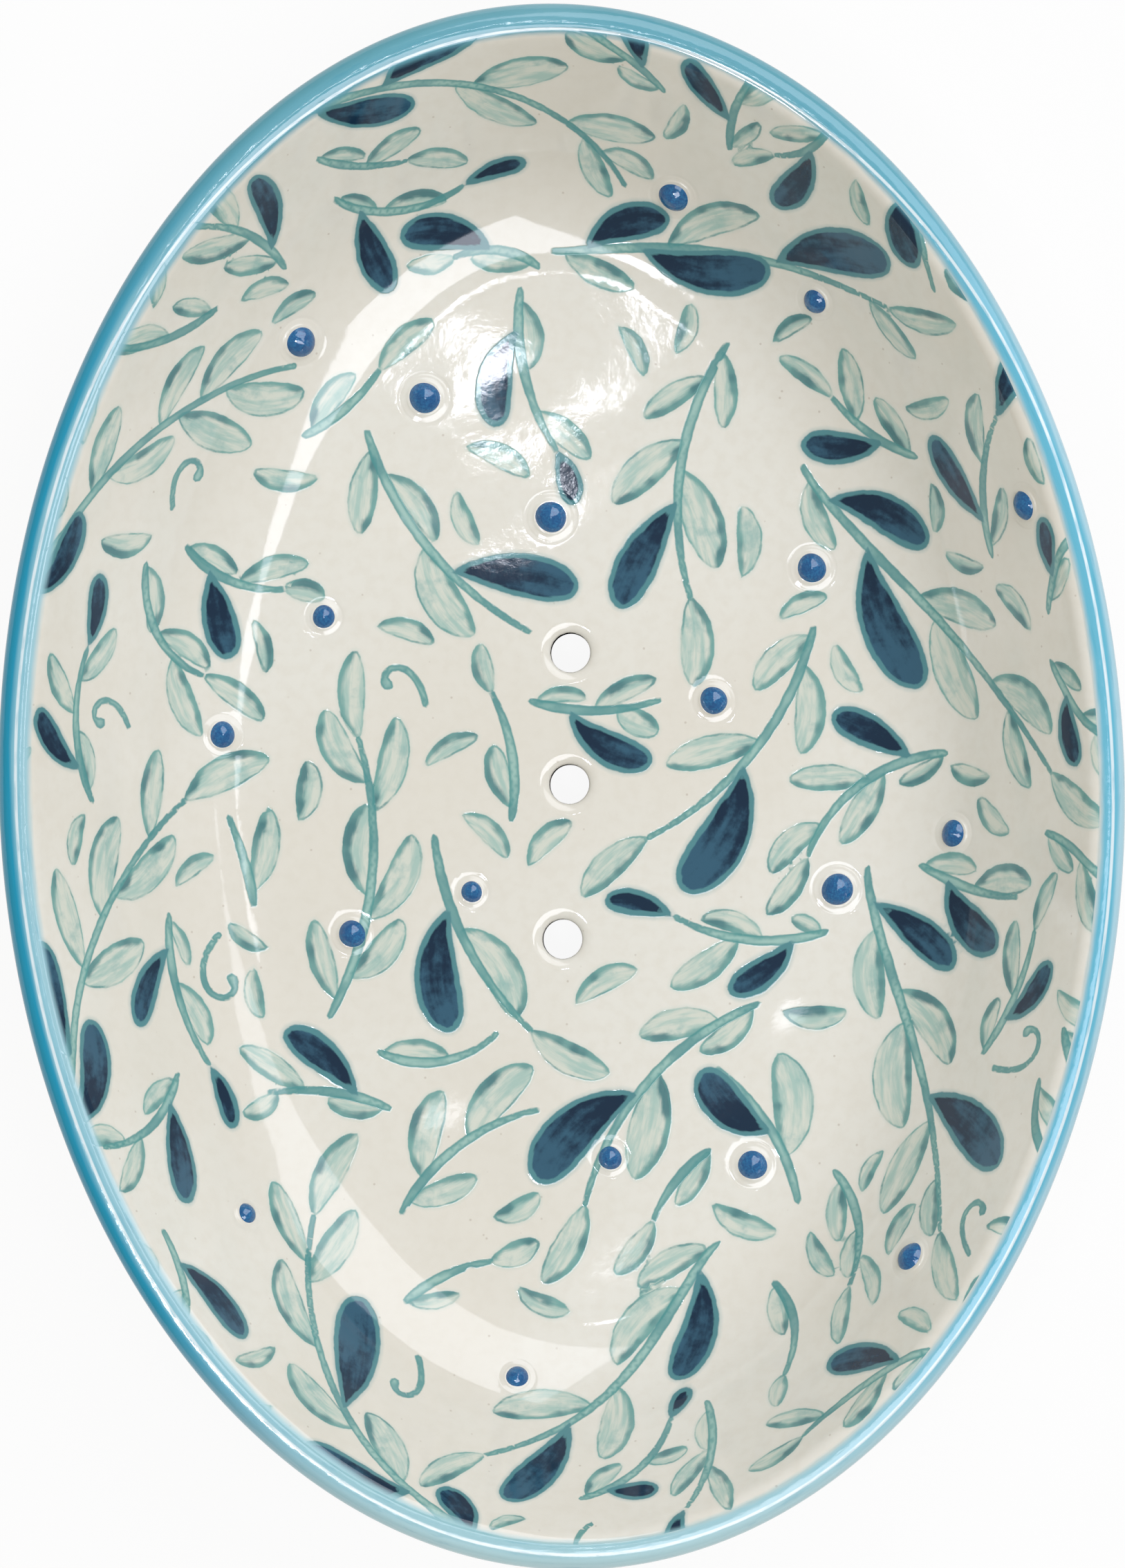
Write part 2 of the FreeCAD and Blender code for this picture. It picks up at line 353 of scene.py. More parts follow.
class Painting:
    """Brush strokes in the flattened plane, each a line of points with half-widths."""

    def __init__(self, seed, kept_clear):
        self.random = np.random.default_rng(seed)
        self.strokes = []
        self.spots = np.zeros((MOST_SPOTS, 3))
        self.spots[:len(kept_clear)] = kept_clear
        self.kept_clear = len(kept_clear)
        self.used = len(kept_clear)
        self.stem = slice(0, 0)

    def between(self, low, high):
        return self.random.uniform(low, high)

    def is_free(self, points, halves, clearance, first_spot=0):
        """Whether a stroke keeps clear of all spots but those of the stem that it grows on."""
        if room_to_lip(points).min() < -LIP_OVERHANG:
            return False
        spots = self.spots[:self.used].copy()
        spots[self.stem, :2] = FAR_AWAY
        spots = spots[first_spot:]
        margin = halves.max() + clearance + WIDEST_SPOT
        near = ((spots[:, :2] > points.min(0) - margin) & (spots[:, :2] < points.max(0) + margin)).all(1)
        spots = spots[near]
        if len(spots) == 0:
            return True
        gaps = np.hypot(*(points[:, None] - spots[None, :, :2]).transpose(2, 0, 1))
        return (gaps - halves[:, None] - spots[None, :, 2]).min() > clearance

    def add(self, kind, points, halves):
        self.strokes.append((kind, points, halves, self.between(0, 50)))
        spots = np.column_stack([points, halves])[::2]
        span = slice(self.used, self.used + len(spots))
        self.spots[span] = spots
        self.used = span.stop
        return span

    def leaf(self, kind, start, angle, length, bend, clearance=0.3, smallest=0.55):
        """Paint a leaf or a bud where there is room, a shorter one if need be."""
        foot, tip, plump = {
            "leaf": (0.9, 0.75, self.between(0.15, 0.195)),
            "bud": (1.0, 0.45, self.between(0.17, 0.2)),
        }[kind]
        for share in np.arange(1, smallest - 0.01, -0.15):
            size = length * share
            points = walk(start, angle, size, bend)
            halves = (0.3 * size + 0.7 * length) * plump * taper(np.linspace(0, 1, len(points)), foot, tip)
            free_part = slice(len(points) // 4, None)
            if self.is_free(points[free_part], halves[free_part], clearance):
                self.add(kind, points, halves)
                return

    def sprig(self, stem, hand, buds, leaf_length, every, shortest=9.0):
        """A stem with leaves on either side by turns, buds among them, and a leaf or a bud at its end."""
        while not self.is_free(stem, np.full(len(stem), STEM_ROOM), STEM_CLEARANCE, self.kept_clear):
            stem = stem[:-STEM_CUT]
            if len(stem) * STEP < shortest:
                return
        lengths = run_along(stem)
        self.stem = self.add("stem", stem, 0.27 + 0.2 * np.sin(pi * (lengths / lengths[-1]) ** 0.6))
        angles = np.unwrap(np.arctan2(*np.gradient(stem, axis=0).T[::-1]))
        count = int(lengths[-1] / every)
        tip_kind = "bud" if count in buds else "leaf"
        self.leaf(tip_kind, stem[-1], angles[-1], leaf_length, hand * radians(TIP_BEND))
        for number in range(count):
            at = 0.05 + 0.9 * (number + self.between(-0.2, 0.2)) / max(1, count - 1)
            place = int(np.clip(at, 0.02, 0.97) * (len(stem) - 1))
            side = hand if number % 2 == 0 else -hand
            size = leaf_length * (0.8 + 0.3 * sin(pi * at)) * self.between(*LEAF_SIZES)
            angle = angles[place] + side * radians(self.between(*LEAF_ANGLES))
            bend = -side * radians(self.between(*LEAF_BENDS))
            if number in buds:
                self.leaf("bud", stem[place], angle, size * BUD_SIZE, bend)
            else:
                self.leaf("leaf", stem[place], angle, size, bend)
        self.stem = slice(0, 0)

    def fill(self):
        """Shorter sprigs, then curled tendrils and single leaves, in the gaps that are left."""
        tendrils = 0
        for attempt in range(FILL_ATTEMPTS):
            turn = self.between(0, 2 * pi)
            reach = lip_reach(turn) * self.between(0, 1.08) ** 0.5
            place = np.array((reach * sin(turn), reach * cos(turn)))
            angle = self.between(0, 2 * pi)
            hand = self.random.choice(HANDS)
            if attempt < SPRIG_ATTEMPTS:
                room = 2.2 - 0.9 * attempt / SPRIG_ATTEMPTS
                length = self.between(13, 17) - 6 * attempt / SPRIG_ATTEMPTS
                stem = walk(place, angle, length, hand * radians(self.between(25, 75)))
                if self.is_free(stem, np.full(len(stem), room), 0.2):
                    self.sprig(stem, hand, (1, 6), self.between(6.0, 7.4), every=2.2, shortest=6.0)
            elif attempt < TENDRIL_ATTEMPTS and tendrils < TENDRILS:
                bend = hand * radians(self.between(30, 90))
                points = walk(place, angle, self.between(7, 12), bend, hand * radians(TENDRIL_CURL))
                halves = np.full(len(points), TENDRIL_HALF_WIDTH)
                halves[-len(TENDRIL_END):] = TENDRIL_END
                if self.is_free(points, halves, 0.7):
                    self.add("stem", points, halves)
                    tendrils += 1
            elif attempt >= TENDRIL_ATTEMPTS:
                if self.is_free(walk(place, angle, 1.2, 0), np.full(FEWEST_POINTS, 0.5), 0.6):
                    self.leaf("leaf", place, angle, self.between(5.0, 7.0), hand * radians(50), 0.5, 0.85)


def wall_stem(start, length, low, high, sway):
    """A stem that runs round the wall, from one height above the floor's edge to another."""
    share = np.linspace(0, 1, int(length / STEP))
    height = low + (high - low) * share ** 1.3 + sway * np.sin(pi * share)
    girth = np.mod(start + length * share, mid_wall_length[-1])
    return flat(np.interp(girth, mid_wall_length, TABLE), height)


def paint_leaves():
    clear = [(x, y, HOLE_CLEARING) for x, y in HOLE_PLACES]
    clear += [(*centre, radius - BEAD_OVERLAP) for centre, radius in FLAT_BEADS]
    art = Painting(PAINTING_SEED, clear)
    for number in range(WALL_SPRIGS):
        start = mid_wall_length[-1] * (number + art.between(-0.1, 0.1)) / WALL_SPRIGS
        shift, *limits = WALL_STEMS[number % 2]
        stem = wall_stem(start + shift, *[art.between(low, high) for low, high in limits])
        art.sprig(stem, HANDS[number % 2], buds=(1, 4, 9), leaf_length=8.8, every=2.5)
    for number, (x, y, angle, length, bend) in enumerate(FLOOR_SPRIGS):
        stem = walk((x, y), radians(angle), length, radians(bend))
        art.sprig(stem, HANDS[number % 2], buds=(2, 5), leaf_length=8.2, every=2.4)
    art.fill()
    return art.strokes


def stroke_fields(points, strokes, kind):
    """At points of the flattened plane: how far inside a stroke's edge, and that stroke's grain.

    The grain is (side, along, seed): how far beside the stroke's line and along it, and a number of its own.
    """
    edge = np.full(len(points), -STROKE_MARGIN)
    grain = np.zeros((len(points), 3))
    for stroke_kind, line, halves, seed in strokes:
        if stroke_kind != kind:
            continue
        reach = halves.max() + STROKE_MARGIN
        near = np.nonzero(((points > line.min(0) - reach) & (points < line.max(0) + reach)).all(1))[0]
        if len(near) == 0:
            continue
        away = points[near, None] - line[None]
        distance = np.hypot(away[..., 0], away[..., 1])
        depth = (halves[None] - distance).max(1)
        closest = distance.argmin(1)
        along = np.gradient(line, axis=0)
        along /= np.hypot(*along.T)[:, None]
        offset = away[np.arange(len(near)), closest]
        side = along[closest, 0] * offset[:, 1] - along[closest, 1] * offset[:, 0]
        wins = depth > edge[near]
        chosen = near[wins]
        edge[chosen] = depth[wins]
        grain[chosen] = np.column_stack([side[wins], closest[wins] * STEP, np.full(wins.sum(), seed)])
    return edge, grain


def painting_values(points, strokes):
    """The values that the body's material needs for strokes, at points of the flattened plane."""
    values = {}
    values["leaf_edge"], values["leaf_grain"] = stroke_fields(points, strokes, "leaf")
    values["bud_edge"], values["bud_grain"] = stroke_fields(points, strokes, "bud")
    values["stem_edge"], _ = stroke_fields(points, strokes, "stem")
    return values


# Relief of the inner face: the hand-made unevenness, and the clear glaze drawn up round the beads

# Waves as height, length, direction and phase; dents as the two coordinates, width and height
WAVES = (
    (0.018, 27.0, 20, 0.4),
    (0.015, 21.0, 95, 2.1),
    (0.012, 15.0, 150, 4.0),
    (0.008, 11.0, 60, 1.2),
    (0.006, 8.0, 118, 5.1),
)
DENTS = (
    (21.0, -22.6, 2.2, -0.12),
    (-10.5, -31.8, 4.0, -0.26),
    (-7.0, -37.5, 2.6, -0.15),
)
CALM_WIDTH = 4.0
MENISCUS_BEAD = 1.4
MENISCUS_RISE = 0.17
MENISCUS_FADE = 0.2
MOAT_PLACE = 0.52
MOAT_DEPTH = 0.035
MOAT_WIDTH = 0.15
HOLE_LIP_DEPTH = 0.5
HOLE_BEND = np.linspace(0, radians(80), 9)
SLOPE_STEP = 0.03
CREST_FLATNESS = 0.6
CREST_WIDTH = 0.4


def unevenness(points):
    total = np.zeros(len(points))
    for height, length, direction, phase in WAVES:
        way = points @ np.array((cos(radians(direction)), sin(radians(direction))))
        total += height * np.sin(2 * pi * way / length + phase)
    for x, y, width, height in DENTS:
        total += height * np.exp(-((points - (x, y)) ** 2).sum(1) / (2 * width ** 2))
    return total


def meniscus(flat_points):
    """How far the glaze climbs round the beads, with a shallow moat round each."""
    total = np.zeros(len(flat_points))
    for centre, radius in FLAT_BEADS:
        size = radius / MENISCUS_BEAD
        away = np.hypot(*(flat_points - centre).T) - radius
        rise = MENISCUS_RISE * size * np.exp(-np.maximum(away, 0) / (MENISCUS_FADE * size))
        moat = MOAT_DEPTH * np.exp(-((away - MOAT_PLACE * radius) / MOAT_WIDTH) ** 2)
        total += rise - moat
    return total


def inner_surface(points):
    """Height of the finished inner face at plan points."""
    flat_points, _, inset = unroll(points)
    calm = np.clip((inset - lip_inset) / CALM_WIDTH, 0, 1)
    drawn_up = meniscus(flat_points) / np.cos(inner_slope(inset))
    return inner_height(inset) + unevenness(points) * calm + drawn_up


def inner_normals(points):
    slopes = []
    for step in ((SLOPE_STEP, 0), (0, SLOPE_STEP)):
        slopes.append((inner_surface(points - step) - inner_surface(points + step)) / (2 * SLOPE_STEP))
    return np.column_stack([*slopes, np.ones(len(points))])


# Meshes
MILLIMETRES = 1000
INNER_SPACING = 0.49
INNER_MARGIN = 0.3 * INNER_SPACING
UNDER_SPACING = 2.5
UNDER_MARGIN = 1.2
ROW_SHARE = sqrt(3) / 2
MERGE_DISTANCE = 1e-6
LEAST_TURN = 1e-9
EDGE_TOLERANCE = 0.01
RIM_STATIONS = 480
HOLE_STATIONS = 64
BEAD_STATIONS = 48
BEAD_SEED = 100
BEAD_SUNK = 0.3
BEAD_LEAN = 0.06
BEAD_LOBES = ((2, 0.025), (3, 0.015))
PEAK_HEIGHT = 0.07
PEAK_WIDTH = 0.22
BAND_ROWS = 25
BAND_UNDER_ROWS = 11
RECESS_FILLET_RADIUS = 0.6
GIRTH_RADIUS = 60.0
FAR_DOWN = 60.0

# Room kept free of the even grids, and fine rings round the beads
HOLE_ROOM = 0.25
HOLE_RING_ROOM = 0.22
EXIT_ROOM = 0.8
BEAD_ROOM = 1.8
FINE_SPAN = (0.7, 1.75)
FINE_SPACING = 0.14
FINE_STEP = 0.2
FINE_STEP_AT = 1.3

# Charts of the body's texture
INNER_CHART_MIDDLE = (0.385, 0.5)
INNER_CHART_SPAN = 151
OUTER_CHART_MIDDLE = (0.885, 0.5)
OUTER_CHART_SCALE = 0.00105
BORE_CHART_RADIUS = 1.7
BORE_CHART_STEP = 0.2


class Shape:
    """Vertices with normals and named values, gathered piece by piece, in millimetres."""

    def __init__(self):
        self.points = []
        self.normals = []
        self.values = {}
        self.count = 0
        self.faces = []

    def add(self, points, normals, **values):
        first = self.count
        self.points.append(np.asarray(points, float))
        self.normals.append(np.asarray(normals, float))
        for name, value in values.items():
            self.values.setdefault(name, []).append(np.asarray(value, float))
        self.count += len(points)
        return np.arange(first, self.count)

    def add_faces(self, faces):
        self.faces += [tuple(map(int, face)) for face in faces]

    def bridge(self, first, second):
        """Quads between two closed rings of the same count, seen from outside with first on the left."""
        self.add_faces(zip(first, np.roll(first, -1), np.roll(second, -1), second))

    def build(self, name, material):
        points = np.concatenate(self.points) / MILLIMETRES
        mesh = bpy.data.meshes.new(name)
        mesh.from_pydata(points.tolist(), [], self.faces)
        for key, parts in self.values.items():
            data = np.concatenate(parts)
            if data.ndim == 1:
                mesh.attributes.new(key, "FLOAT", "POINT").data.foreach_set("value", data)
            else:
                mesh.attributes.new(key, "FLOAT_VECTOR", "POINT").data.foreach_set("vector", data.ravel())
        mesh.polygons.foreach_set("use_smooth", np.ones(len(mesh.polygons), bool))
        mesh.normals_split_custom_set_from_vertices(np.concatenate(self.normals).tolist())
        mesh.materials.append(material)
        piece = bpy.data.objects.new(name, mesh)
        bpy.context.scene.collection.objects.link(piece)
        return piece


def triangles(points):
    """Delaunay triangles of plane points, all turned the same way."""
    _, _, faces, origins, _, _ = delaunay_2d_cdt([Vector(p) for p in points], [], [], 0, MERGE_DISTANCE)
    first = np.array([origin[0] for origin in origins])
    faces = first[np.array(faces)]
    a, b, c = points[faces[:, 0]], points[faces[:, 1]], points[faces[:, 2]]
    turn = (b[:, 0] - a[:, 0]) * (c[:, 1] - a[:, 1]) - (b[:, 1] - a[:, 1]) * (c[:, 0] - a[:, 0])
    faces[turn < 0] = faces[turn < 0][:, ::-1]
    return faces[np.abs(turn) > LEAST_TURN]


def clear_of(points, spots):
    keep = np.ones(len(points), bool)
    for centre, reach in spots:
        keep &= np.hypot(*(points - centre).T) > reach
    return keep


def outside_holes(points, reach):
    return clear_of(points, [(place, reach) for place in HOLE_PLACES])


def floor_grid(spacing, margin):
    """An even grid of plan points on the floor, a margin inside its edge."""
    rows = np.arange(-LENGTH / 2, LENGTH / 2, spacing * ROW_SHARE)
    x, y = np.meshgrid(np.arange(-WIDTH / 2, WIDTH / 2, spacing), rows)
    x = x + (np.arange(len(rows)) % 2)[:, None] * spacing / 2
    grid = np.stack([x.ravel(), y.ravel()], 1)
    grid = grid[np.hypot(grid[:, 0] / WIDTH, grid[:, 1] / LENGTH) < 0.5]
    return grid[unroll(grid)[2] > FLOOR_INSET + margin]


def ring(centre, radius, count, turn=0.0):
    angles = (np.arange(count) + turn) / count * 2 * pi
    return np.asarray(centre) + radius * np.stack([np.cos(angles), np.sin(angles)], 1)


def at_height(points, z):
    return np.column_stack([points, np.broadcast_to(z, len(points))])


def girth_value(bearing, length):
    """Where a vertex lies on the lip: round it, and down from its crest, inwards counted up."""
    return at_height(GIRTH_RADIUS * np.stack([np.sin(bearing), np.cos(bearing)], -1), length)


rim_stations = even_bearings(crest_inset, RIM_STATIONS)
rim_points, rim_outwards = rim_frame(rim_stations)


def rim_ring(u, z, angle):
    """A ring of points round the dish at a section point, with its normals at an angle of the section."""
    return at_height(rim_points + rim_outwards * u, z), at_height(rim_outwards * cos(angle), sin(angle))


def inner_points():
    """Plan points of the inner face: rings up the wall, a grid on the floor, fine rings round the beads."""
    rings = int(crest_length / (INNER_SPACING * ROW_SHARE))
    parts = []
    for number in range(1, rings):
        inset = inset_at(crest_length * (1 - number / rings))
        count = int(run_along(plan(TABLE, inset))[-1] / INNER_SPACING)
        parts.append(plan(even_bearings(inset, count, number % 2 / 2), inset))
    parts.append(floor_grid(INNER_SPACING, INNER_MARGIN))
    points = np.concatenate(parts)
    flat_points = unroll(points)[0]
    keep = outside_holes(flat_points, HOLE_RADIUS + HOLE_LIP_RADIUS + HOLE_ROOM)
    keep &= clear_of(flat_points, [(centre, radius * BEAD_ROOM) for centre, radius in FLAT_BEADS])
    fine = []
    for centre, radius in FLAT_BEADS:
        count = int(2 * pi * radius * FINE_STEP_AT / FINE_STEP)
        reaches = np.arange(FINE_SPAN[0] * radius, FINE_SPAN[1] * radius, FINE_SPACING)
        for number, reach in enumerate(reaches):
            fine.append(ring(centre, reach, count, number % 2 / 2))
    return np.concatenate([points[keep], roll_up(np.concatenate(fine))])


def hole_lips():
    """Rings of the drain holes' rolled lips, from outside inwards, then a ring round each lip."""
    points = []
    normals = []
    for place in HOLE_PLACES:
        for angle in HOLE_BEND:
            reach = HOLE_RADIUS + HOLE_LIP_RADIUS * (1 - sin(angle))
            line = ring(place, reach, HOLE_STATIONS)
            fall = HOLE_LIP_DEPTH / HOLE_LIP_RADIUS * tan(angle)
            points.append(at_height(line, inner_surface(line) - HOLE_LIP_DEPTH * (1 - cos(angle))))
            normals.append(at_height((place - line) / reach * fall, 1.0) / hypot(fall, 1))
        line = ring(place, HOLE_RADIUS + HOLE_LIP_RADIUS + HOLE_RING_ROOM, HOLE_STATIONS, 0.5)
        points.append(at_height(line, inner_surface(line)))
        normals.append(at_height(0 * line, 1.0))
    return points, normals


def outer_profile():
    """From the crest down the outside, round the foot and into the recess: (u, z, angle of the normal)."""
    profile = [(*crest, UP)]

    def add_arc(centre, radius, start, end, count, flip=0.0):
        for angle in np.linspace(start, end, count + 1)[1:]:
            profile.append((*polar(centre, radius, angle), angle + flip))

    outer_edge = foot_outer - FOOT_EDGE_RADIUS
    inner_edge = foot_inner + FOOT_EDGE_RADIUS
    recess_edge = FOOT_HEIGHT - RECESS_FILLET_RADIUS
    add_arc(lip_centre, lip_radius, UP, flank_high, 12)
    add_arc(flank_centre, FLANK_RADIUS + WALL_THICKNESS, flank_high, flank_low, 8)
    add_arc(curve_centre, outer_curve_radius, flank_low, fillet_angle, 8)
    add_arc(fillet_centre, FOOT_FILLET_RADIUS, fillet_angle + pi, pi, 5, pi)
    profile.append((foot_outer, FOOT_EDGE_RADIUS, 0.0))
    add_arc((outer_edge, FOOT_EDGE_RADIUS), FOOT_EDGE_RADIUS, 0, -UP, 5)
    profile.append(((foot_outer + foot_inner) / 2, 0.0, -UP))
    profile.append((inner_edge, 0.0, -UP))
    add_arc((inner_edge, FOOT_EDGE_RADIUS), FOOT_EDGE_RADIUS, -UP, -pi, 5)
    profile.append((foot_inner, recess_edge, -pi))
    add_arc((foot_inner - RECESS_FILLET_RADIUS, recess_edge), RECESS_FILLET_RADIUS, 0, UP, 4, pi)
    return profile


def bore_profile():
    """Down a drain hole's bore and round its eased exit: (distance from the axis, z, angle of the normal)."""
    profile = [(HOLE_RADIUS, floor_top - HOLE_LIP_DEPTH, 0.0)]
    for angle in np.linspace(0, UP, 5):
        reach = HOLE_RADIUS + HOLE_EXIT_RADIUS * (1 - cos(angle))
        profile.append((reach, FOOT_HEIGHT + HOLE_EXIT_RADIUS * (1 - sin(angle)), angle))
    return profile


def dish_body():
    shape = Shape()

    def add(points, normals, girth, inner_chart, outer_chart, strokes=()):
        """Vertices with their places in the two charts; any strokes lie in the inner chart."""
        return shape.add(
            points, normals, **painting_values(inner_chart[:, :2], strokes), girth=girth,
            inner_chart=inner_chart, outer_chart=outer_chart)

    # One sheet: the inner face, the lips of the drain holes and the crest of the rim
    inner = inner_points()
    lips, lip_normals = hole_lips()
    rim, rim_normals = rim_ring(*crest, UP)
    points = np.concatenate([at_height(inner, inner_surface(inner)), *lips, rim])
    normals = np.concatenate([inner_normals(inner), *lip_normals, rim_normals])
    unrolled, bearing, inset = unroll(points[:, :2])
    sheet = add(
        points, normals, girth_value(bearing, crest_length - climb(inset)),
        at_height(unrolled, 1.0), np.zeros(points.shape), paint_leaves())
    faces = triangles(unrolled)
    shape.add_faces(faces[outside_holes(unrolled[faces].mean(1), HOLE_RADIUS)])

    # The outside, ring by ring, with a chart that lays it flat round the recess
    profile = outer_profile()
    runs = run_along(np.array(profile)[:, :2])
    recess_u = profile[-1][0]
    last = sheet[-RIM_STATIONS:]
    shape.values["outer_chart"][0][last, :2] = rim_points + rim_outwards * (recess_u + runs[-1])
    for (u, z, angle), run in zip(profile[1:], runs[1:]):
        chart = at_height(rim_points + rim_outwards * (recess_u + runs[-1] - run), 0.0)
        current = add(*rim_ring(u, z, angle), girth_value(rim_stations, -run), 0 * chart, chart)
        shape.bridge(last, current)
        last = current

    # Bores of the drain holes, each from the last ring of its lip
    far_girth = girth_value(np.zeros(HOLE_STATIONS), FAR_DOWN)
    exits = []
    for number, place in enumerate(HOLE_PLACES):
        first = len(inner) + ((number + 1) * (len(HOLE_BEND) + 1) - 2) * HOLE_STATIONS
        above = sheet[first:first + HOLE_STATIONS]
        for depth, (reach, z, angle) in enumerate(bore_profile()):
            line = ring(place, reach, HOLE_STATIONS)
            inwards = at_height((place - line) / reach * cos(angle), -sin(angle))
            chart = ring(place, BORE_CHART_RADIUS - BORE_CHART_STEP * depth, HOLE_STATIONS)
            charts = (at_height(chart, 1.0), at_height(line, 0.0))
            current = add(at_height(line, z), inwards, far_girth, *charts)
            shape.bridge(current, above)
            above = current
        exits.append(above)

    # Underside of the floor
    grid = floor_grid(UNDER_SPACING, UNDER_MARGIN)
    grid = grid[outside_holes(grid, exit_reach + EXIT_ROOM)]
    far_girth = girth_value(np.zeros(len(grid)), -FAR_DOWN)
    chart = at_height(grid, 0.0)
    middle = add(at_height(grid, FOOT_HEIGHT), at_height(0 * grid, -1.0), far_girth, 0 * chart, chart)
    index = np.concatenate([last, *exits, middle])
    edges = [ring(place, exit_reach, HOLE_STATIONS) for place in HOLE_PLACES]
    under = np.concatenate([plan(rim_stations, -recess_u), *edges, grid])
    faces = triangles(under)
    faces = faces[outside_holes(under[faces].mean(1), exit_reach - EDGE_TOLERANCE)]
    shape.add_faces(index[faces][:, ::-1])
    return shape


def rim_band():
    """The glaze over the lip: a crescent in section, its inner side on the clay."""
    shape = Shape()
    edges = [polar(lip_centre, lip_radius, angle) for angle in (band_inner_edge, band_outer_edge)]
    ends = [angle_from(band_centre, edge) for edge in edges]
    under = np.linspace(band_outer_edge, band_inner_edge, BAND_UNDER_ROWS)[1:-1]
    rows = [(band_centre, band_radius, angle, 0.0) for angle in np.linspace(*ends, BAND_ROWS)]
    rows += [(lip_centre, lip_radius, angle, pi) for angle in under]
    rings = []
    for centre, radius, angle, flip in rows:
        u, z = polar(centre, radius, angle)
        lean = angle - UP
        shaded = UP + lean * (1 - CREST_FLATNESS * np.exp(-(lean / CREST_WIDTH) ** 2)) + flip
        length = lip_radius * (angle_from(lip_centre, (u, z)) - UP)
        rings.append(shape.add(*rim_ring(u, z, shaded), girth=girth_value(rim_stations, length)))
    for first, second in zip(rings, rings[1:] + rings[:1]):
        shape.bridge(first, second)
    return shape


def bead(bearing, inset, radius, number):
    """A drop of slip: a slightly uneven dome with a small peak where the brush left it."""
    shape = Shape()
    random = np.random.default_rng(BEAD_SEED + number)
    outwards = rim_frame(bearing)[1]
    slope = float(inner_slope(inset))
    normal = np.array((*(-outwards * sin(slope)), cos(slope)))
    side = np.array((outwards[1], -outwards[0], 0.0))
    climb_way = np.cross(normal, side)
    seat = np.array((*plan(bearing, inset), float(inner_height(inset))))
    turn = np.arange(BEAD_STATIONS) / BEAD_STATIONS * 2 * pi
    lean = random.uniform(-BEAD_LEAN, BEAD_LEAN, 2)
    uneven = 1.0
    for lobes, height in BEAD_LOBES:
        uneven = uneven + height * np.sin(lobes * turn + random.uniform(0, 6))
    dome = radius / sin(DOT_EDGE_ANGLE)
    sunk = radius / tan(DOT_EDGE_ANGLE)
    rows = []
    for share in (0.04, *np.linspace(0.1, 1.0, 15)):
        angle = share * DOT_EDGE_ANGLE
        reach = dome * sin(angle)
        peak = PEAK_HEIGHT * radius * np.exp(-(reach / (PEAK_WIDTH * radius)) ** 2)
        rows.append((reach, dome * cos(angle) - sunk + peak))
    rows.append((radius, -BEAD_SUNK))
    grid = []
    for reach, height in rows:
        local = np.stack([reach * uneven * np.cos(turn), reach * uneven * np.sin(turn)], 1)
        local = local + lean * max(height, 0) * 0.6
        grid.append(seat + local[:, :1] * side + local[:, 1:] * climb_way + height * normal)
    grid = np.array(grid)
    round_way = np.roll(grid, -1, 1) - np.roll(grid, 1, 1)
    normals = np.cross(np.gradient(grid, axis=0), round_way)
    normals /= np.linalg.norm(normals, axis=-1, keepdims=True)
    top = shape.add([grid[0].mean(0) + 0.003 * radius * normal], [normal])
    rings = [shape.add(row, row_normals) for row, row_normals in zip(grid, normals)]
    shape.add_faces((*top, a, b) for a, b in zip(rings[0], np.roll(rings[0], -1)))
    for above, below in zip(rings, rings[1:]):
        shape.bridge(below, above)
    shape.add_faces([rings[-1][::-1]])
    return shape


# Materials
GLAZE_INDEX = 1.6
SLIP_INDEX = 1.8
GLAZE_ROUGHNESS = 0.045
BAND_ROUGHNESS = 0.1
SLIP_ROUGHNESS = 0.08
GLAZE_RIPPLE = 0.00001
BAND_RIPPLE = 0.00004
SLIP_RIPPLE = 0.00002

# Turquoise by side, partly the glaze's own tone and partly painted light, the pale tones outside at the right
# and at the bottom being painted reflections: where the outside's tone changes, then the tones outside, over
# the crest and inside
RIM_TONES = {
    "left": (-0.65, (24, 152, 188), (140, 194, 210), (158, 202, 214)),
    "right": (-1.35, (166, 210, 226), (102, 184, 210), (98, 182, 208)),
    "top": (-0.85, (98, 164, 180), (104, 170, 188), (98, 160, 176)),
    "bottom": (-0.85, (186, 222, 230), (164, 206, 216), (152, 198, 206)),
}


def tone(*levels):
    """A colour given as it looks on a screen, 0 to 255."""
    values = []
    for level in levels:
        share = level / 255
        if share <= 0.04045:
            values.append(share / 12.92)
        else:
            values.append(((share + 0.055) / 1.055) ** 2.4)
    return (*values, 1.0)


def fill_in(node, inputs):
    """Set a node's inputs, each to a constant or from an output."""
    for key, value in inputs.items():
        if isinstance(value, Output):
            node.id_data.links.new(value.socket, node.inputs[key])
        else:
            node.inputs[key].default_value = value


def new_node(tree, kind, inputs, **settings):
    node = tree.nodes.new("ShaderNode" + kind)
    for name, setting in settings.items():
        setattr(node, name, setting)
    fill_in(node, inputs)
    return node


